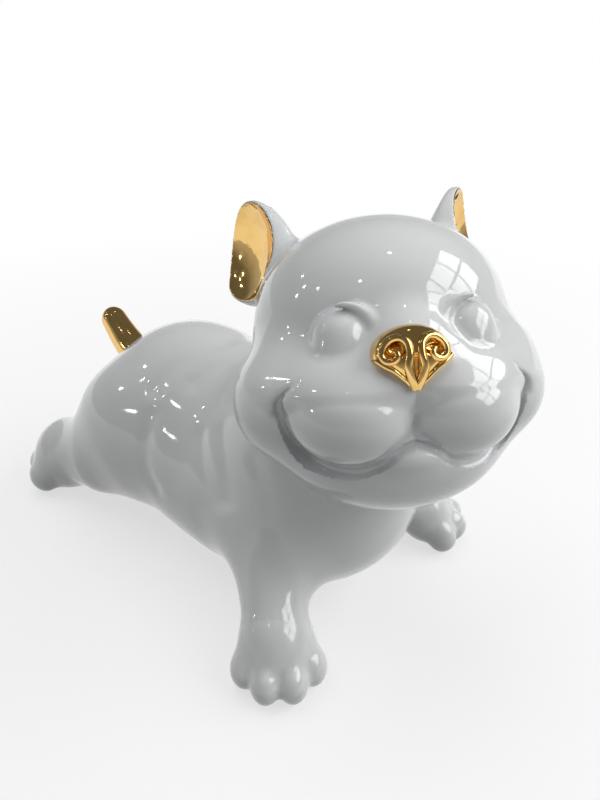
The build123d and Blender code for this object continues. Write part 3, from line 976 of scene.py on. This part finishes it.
def mixed(tree, factor, first, second):
    """Two colours mixed by a factor."""
    node = tree.nodes.new("ShaderNodeMix")
    node.data_type = "RGBA"
    tree.links.new(factor, node.inputs["Factor"])
    for socket, value in zip(MIX_COLOURS, (first, second)):
        if isinstance(value, bpy.types.NodeSocket):
            tree.links.new(value, node.inputs[socket])
        else:
            node.inputs[socket].default_value = (*value, 1)
    return node.outputs[MIX_RESULT]


def combined(tree, operation, first, second):
    """Two values put together, kept between nothing and one."""
    node = tree.nodes.new("ShaderNodeMath")
    node.operation = operation
    node.use_clamp = True
    tree.links.new(first, node.inputs[0])
    tree.links.new(second, node.inputs[1])
    return node.outputs[0]


def bumped(tree, shader, height, strength, distance):
    """A bump on the shader from a height."""
    node = tree.nodes.new("ShaderNodeBump")
    node.inputs["Strength"].default_value = strength
    node.inputs["Distance"].default_value = distance
    tree.links.new(height, node.inputs["Height"])
    tree.links.new(node.outputs["Normal"], shader.inputs["Normal"])


def glaze_finish(finish):
    """Glossy white glaze with random grey clouds, greyed in hollows by painted shade, with a faint ripple.
    """
    material, tree, shader = principled("poured_glaze")
    attribute = tree.nodes.new("ShaderNodeAttribute")
    attribute.attribute_name = "painted_shade"
    hollow_shading = ranged(tree, attribute.outputs["Fac"], SHADE_SPAN, (0, 1))
    clouds = ranged(tree, noise(tree, finish.cloud_scale, detail=3), NOISE_SPAN, (0, finish.cloud_share))
    tint = mixed(tree, clouds, finish.glaze, finish.shade_grey)
    # Painted shade: the glaze greyed in hollows by how closed in each point is
    tint = mixed(tree, hollow_shading, tint, finish.shade_grey)
    tree.links.new(tint, shader.inputs["Base Color"])
    gloss = ranged(tree, noise(tree, finish.glaze_gloss_scale), NOISE_SPAN, finish.glaze_roughness)
    tree.links.new(gloss, shader.inputs["Roughness"])
    shader.inputs["IOR"].default_value = finish.glaze_bend
    shader.inputs["Coat Weight"].default_value = finish.coat
    shader.inputs["Coat Roughness"].default_value = finish.coat_roughness
    ripple = noise(tree, finish.ripple_scale, detail=1)
    bumped(tree, shader, ripple, finish.ripple_strength, finish.ripple_height)
    return material


def gold_finish(finish):
    """Bright fired gold, browner where it lies thin, with a slight unevenness."""
    material, tree, shader = principled("fired_gold")
    thin = ranged(tree, noise(tree, finish.thin_scale, detail=3), THIN_SPAN, (0, finish.thin_share))
    tree.links.new(mixed(tree, thin, finish.gold, finish.worn_gold), shader.inputs["Base Color"])
    shader.inputs["Metallic"].default_value = 1
    gloss = ranged(tree, noise(tree, finish.gold_gloss_scale), NOISE_SPAN, finish.gold_roughness)
    tree.links.new(gloss, shader.inputs["Roughness"])
    ripple = noise(tree, finish.gold_ripple_scale)
    bumped(tree, shader, ripple, finish.gold_ripple_strength, finish.gold_ripple_height)
    return material


def finished(name, maker):
    """A material by name, made once."""
    return bpy.data.materials.get(name) or maker(bpy.context.scene.puppy_finish)


def glazed(piece):
    """Give a piece the glaze."""
    piece.data.materials.append(finished("poured_glaze", glaze_finish))


def gilded(piece):
    """Give a piece the gold."""
    piece.data.materials.append(finished("fired_gold", gold_finish))


def cell_of(part):
    return CELLS[part] * 1


def glazed_piece(node, part):
    """Sculpt one node's share of the glazed skin, within the box of the node's solid."""
    figure = Figure(bpy.context.scene)
    cell = cell_of(part)
    low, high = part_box(node)
    low = np.maximum(np.array(low) - SKIN_MARGIN, np.array(cad_low) - BOX_MARGIN)
    high = np.minimum(np.array(high) + SKIN_MARGIN, np.array(cad_high) + BOX_MARGIN)
    piece, points, normals = sculpted(
        f"{node}_skin", lambda p: figure.piece(p, part), low, high, cell, figure.whole
    )
    store_painted_shade(piece, figure, points, normals)
    glazed(piece)
    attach(piece, "root")
    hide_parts(node)


class PUPPY_OT_trunk(bpy.types.Operator):
    """Sculpt the trunk with its neck"""

    bl_idname = "puppy.trunk"
    bl_label = "Trunk"

    def execute(self, context):
        glazed_piece("torso", "trunk")
        return {"FINISHED"}


class PUPPY_OT_head(bpy.types.Operator):
    """Sculpt the head with its face"""

    bl_idname = "puppy.head"
    bl_label = "Head"

    def execute(self, context):
        glazed_piece("head", "head")
        return {"FINISHED"}


class PUPPY_OT_ears(bpy.types.Operator):
    """Sculpt both ears and their gilded linings"""

    bl_idname = "puppy.ears"
    bl_label = "Ears"

    def execute(self, context):
        for node in ("ear_left", "ear_right"):
            glazed_piece(node, "ears")
        figure = Figure(context.scene)
        low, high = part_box("ear_linings")
        cell = cell_of("linings")
        lining, _, _ = sculpted("ear_linings_gold", figure.linings, low, high, cell)
        gilded(lining)
        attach(lining, "root")
        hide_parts("ear_linings")
        return {"FINISHED"}


class PUPPY_OT_legs(bpy.types.Operator):
    """Sculpt the forelegs and hind legs with their paws"""

    bl_idname = "puppy.legs"
    bl_label = "Legs"

    def execute(self, context):
        for side in ("left", "right"):
            glazed_piece(f"foreleg_{side}", "forelegs")
            glazed_piece(f"hindleg_{side}", "hindlegs")
        return {"FINISHED"}


# The nostril scrolls on the left side of the nose, as shares of the nose's half width and arch
SCROLL_SHARES = (
    (0.03, -0.95), (0.14, -0.6), (0.2, -0.28), (0.15, 0.1), (0.18, 0.42), (0.34, 0.6), (0.56, 0.57),
    (0.74, 0.36), (0.8, 0.1), (0.71, -0.08), (0.54, -0.09), (0.43, 0.05), (0.47, 0.2), (0.57, 0.2),
)
RIM_SHARES = ((0.93, -0.02), (0.74, -0.22), (0.52, -0.4), (0.28, -0.68), (0.06, -0.98))


class PUPPY_OT_nose(bpy.types.Operator):
    """Sculpt the gilded nose and lay its nostril scrolls"""

    bl_idname = "puppy.nose"
    bl_label = "Nose"

    def execute(self, context):
        figure = Figure(context.scene)
        s = context.scene.puppy_gold
        low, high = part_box("nose")
        low = np.array(low) - BOX_MARGIN
        high = np.array(high) + BOX_MARGIN
        shield, _, _ = sculpted("nose_shield", figure.nose, low, high, cell_of("nose"))
        gilded(shield)
        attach(shield, "root")
        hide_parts("nose")
        strokes = (
            ("nose_scrolls", SCROLL_SHARES, s.scroll_radius),
            ("nose_rims", RIM_SHARES, s.rim_radius),
        )
        for name, shares, radius in strokes:
            flat = smooth_route(shares) * (s.nose_half_width, s.nose_arch)
            depth = figure.nose_front(flat[:, 0], flat[:, 1]) + s.scroll_sink
            route = np.column_stack([flat[:, 0], depth, flat[:, 1]])
            mesh = strand(
                name,
                route,
                {
                    "Rings": SCROLL_RINGS,
                    "Sides": SCROLL_SIDES,
                    "Root Radius": radius,
                    "Tip Radius": radius * s.scroll_taper,
                    "Tip Share": SCROLL_TIP_SHARE,
                    "Twin": True,
                    "Material": finished("fired_gold", gold_finish),
                },
            )
            mesh.transform(figure.head_matrix(s.nose_place))
            ridge = new_piece(name, mesh)
            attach(ridge, "root")
        return {"FINISHED"}


class PUPPY_OT_tail(bpy.types.Operator):
    """Draw out the gilded tail"""

    bl_idname = "puppy.tail"
    bl_label = "Tail"

    def execute(self, context):
        s = context.scene.puppy_gold
        root, tip = np.array(s.tail_root), np.array(s.tail_tip)
        route = smooth_route([root, (root + tip) / 2 + np.array(s.tail_bow), tip], TAIL_STEPS)
        mesh = strand(
            "tail_gold",
            route,
            {
                "Rings": TAIL_RINGS,
                "Sides": TAIL_SIDES,
                "Root Radius": s.tail_root_radius,
                "Tip Radius": s.tail_tip_radius,
                "Tip Share": s.tail_tip_radius / np.linalg.norm(tip - root),
                "Twin": False,
                "Material": finished("fired_gold", gold_finish),
            },
        )
        tail = new_piece("tail_gold", mesh)
        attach(tail, "root")
        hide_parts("tail")
        return {"FINISHED"}


def floor_finish(finish, stage):
    """Pale floor that takes shadows near the figure and runs out into plain white."""
    material, tree, shader = principled("pale_floor")
    rays = tree.nodes.new("ShaderNodeLightPath")
    tint = mixed(tree, rays.outputs["Is Diffuse Ray"], finish.floor, finish.floor_bounce)
    tree.links.new(tint, shader.inputs["Base Color"])
    shader.inputs["Roughness"].default_value = finish.floor_roughness
    shader.inputs["Specular IOR Level"].default_value = finish.floor_gloss
    coordinates = tree.nodes.new("ShaderNodeTexCoord")
    distance = tree.nodes.new("ShaderNodeVectorMath")
    distance.operation = "LENGTH"
    tree.links.new(coordinates.outputs["Object"], distance.inputs[0])
    run_out = (stage.white_start, stage.white_full)
    far = ranged(tree, distance.outputs["Value"], run_out, (stage.white_base, 1))
    seen = rays.outputs["Is Camera Ray"]
    for kind in ("Is Glossy Ray", "Is Transmission Ray"):
        seen = combined(tree, "ADD", seen, rays.outputs[kind])
    glow = tree.nodes.new("ShaderNodeEmission")
    blend = tree.nodes.new("ShaderNodeMixShader")
    tree.links.new(combined(tree, "MULTIPLY", far, seen), blend.inputs["Fac"])
    tree.links.new(shader.outputs[0], blend.inputs[1])
    tree.links.new(glow.outputs[0], blend.inputs[2])
    tree.links.new(blend.outputs[0], tree.nodes["Material Output"].inputs["Surface"])
    return material


def studio_world(finish, stage):
    """A pale horizon under a dim ceiling."""
    world = bpy.data.worlds.new("studio")
    world.use_nodes = True
    tree = world.node_tree
    coordinates = tree.nodes.new("ShaderNodeTexCoord")
    parts = tree.nodes.new("ShaderNodeSeparateXYZ")
    tree.links.new(coordinates.outputs["Generated"], parts.inputs[0])
    level = ranged(tree, parts.outputs["Z"], (0, stage.room_fade), (stage.room_low, stage.room_high))
    level.node.interpolation_type = "SMOOTHSTEP"
    tree.links.new(level, tree.nodes["Background"].inputs["Strength"])
    tree.nodes["Background"].inputs["Color"].default_value = (*finish.room, 1)
    return world


def hang(name, shape, spot, aim, extent, power):
    """Hang an area lamp at a spot, facing its aim, and return its object."""
    lamp = bpy.data.lights.new(name, "AREA")
    lamp.shape = shape
    lamp.size, lamp.size_y = extent
    lamp.energy = power
    holder = bpy.data.objects.new(name, lamp)
    bpy.context.scene.collection.objects.link(holder)
    holder.location = spot
    holder.rotation_euler = (Vector(aim) - Vector(spot)).to_track_quat("-Z", "Y").to_euler()
    return holder


def window_light(stage):
    """A window of several panes to the front and right of the figure."""
    columns, rows = stage.panes
    width, height = (extent / count for extent, count in zip(stage.window, stage.panes))
    facing = (Vector(stage.aim) - Vector(stage.window_place)).to_track_quat("-Z", "Y")
    for column in range(columns):
        for row in range(rows):
            offset = Vector(((column - (columns - 1) / 2) * width, (row - (rows - 1) / 2) * height, 0))
            spot = Vector(stage.window_place) + facing @ offset
            extent = (width - stage.mullion, height - stage.mullion)
            power = stage.window_power / (columns * rows)
            pane = hang(f"pane_{column}_{row}", "RECTANGLE", spot, stage.aim, extent, power)
            pane.rotation_euler = facing.to_euler()


# Directions of the small lamps on the ceiling of the room, from the figure
CEILING_SPOTS = (
    (0.19, 0.06, 0.98), (-0.29, 0.79, 0.54), (-0.47, 0.71, 0.53), (-0.51, 0.76, 0.41),
    (-0.76, 0.6, 0.27), (-0.58, 0.51, 0.64), (-0.46, 0, 0.89),
)


class PUPPY_OT_stage(bpy.types.Operator):
    """Lay the pale floor, hang the lamps and set the camera"""

    bl_idname = "puppy.stage"
    bl_label = "Stage"

    def execute(self, context):
        scene = context.scene
        stage = scene.puppy_stage
        reach = stage.floor_reach
        mesh = bpy.data.meshes.new("floor")
        mesh.from_pydata([(x * reach, y * reach, 0) for x, y in SQUARE], [], [(0, 1, 2, 3)])
        floor = new_piece("floor", mesh)
        floor.data.materials.append(floor_finish(scene.puppy_finish, stage))
        scene.world = studio_world(scene.puppy_finish, stage)

        camera = bpy.data.objects.new("camera", bpy.data.cameras.new("camera"))
        scene.collection.objects.link(camera)
        camera.location = stage.camera_place
        camera.rotation_euler = Euler((pi / 2 - stage.camera_drop, 0, -stage.camera_turn))
        camera.data.sensor_fit = "VERTICAL"
        camera.data.lens = camera.data.sensor_height * stage.focal_pixels / stage.image_height
        camera.data.clip_end = 2 * reach
        scene.camera = camera

        softbox = hang(
            "softbox", "RECTANGLE", stage.softbox_place, stage.aim, stage.softbox, stage.softbox_power
        )
        softbox.visible_glossy = False
        window_light(stage)
        spot_extent = (stage.spot_size, stage.spot_size)
        for i, direction in enumerate(CEILING_SPOTS):
            spot = Vector(stage.aim) + Vector(direction) * stage.spot_distance
            hang(f"ceiling_spot_{i}", "DISK", spot, stage.aim, spot_extent, stage.spot_power)
        scene.view_settings.view_transform = "Standard"
        return {"FINISHED"}


PIECES = (
    PUPPY_OT_trunk,
    PUPPY_OT_head,
    PUPPY_OT_ears,
    PUPPY_OT_legs,
    PUPPY_OT_nose,
    PUPPY_OT_tail,
    PUPPY_OT_stage,
)


class PUPPY_PT_panel(bpy.types.Panel):
    """The figure's pieces, in the order in which they are made"""

    bl_idname = "PUPPY_PT_panel"
    bl_label = "Porcelain Puppy"
    bl_space_type = "VIEW_3D"
    bl_region_type = "UI"
    bl_category = "Puppy"

    def draw(self, context):
        for operator in PIECES:
            self.layout.operator(operator.bl_idname)


def register():
    """Add the settings, the operators and the panel."""
    for name, group in SETTINGS.items():
        bpy.utils.register_class(group)
        setattr(bpy.types.Scene, name, PointerProperty(type=group))
    for operator in PIECES:
        bpy.utils.register_class(operator)
    bpy.utils.register_class(PUPPY_PT_panel)


def unregister():
    """Take the panel, the operators and the settings out again."""
    bpy.utils.unregister_class(PUPPY_PT_panel)
    for operator in reversed(PIECES):
        bpy.utils.unregister_class(operator)
    for name, group in reversed(SETTINGS.items()):
        delattr(bpy.types.Scene, name)
        bpy.utils.unregister_class(group)


def main():
    """Register the add-on, make every piece and set the stage."""
    register()
    bpy.ops.puppy.trunk()
    bpy.ops.puppy.head()
    bpy.ops.puppy.ears()
    bpy.ops.puppy.legs()
    bpy.ops.puppy.nose()
    bpy.ops.puppy.tail()
    bpy.ops.puppy.stage()


if __name__ == "__main__":
    main()
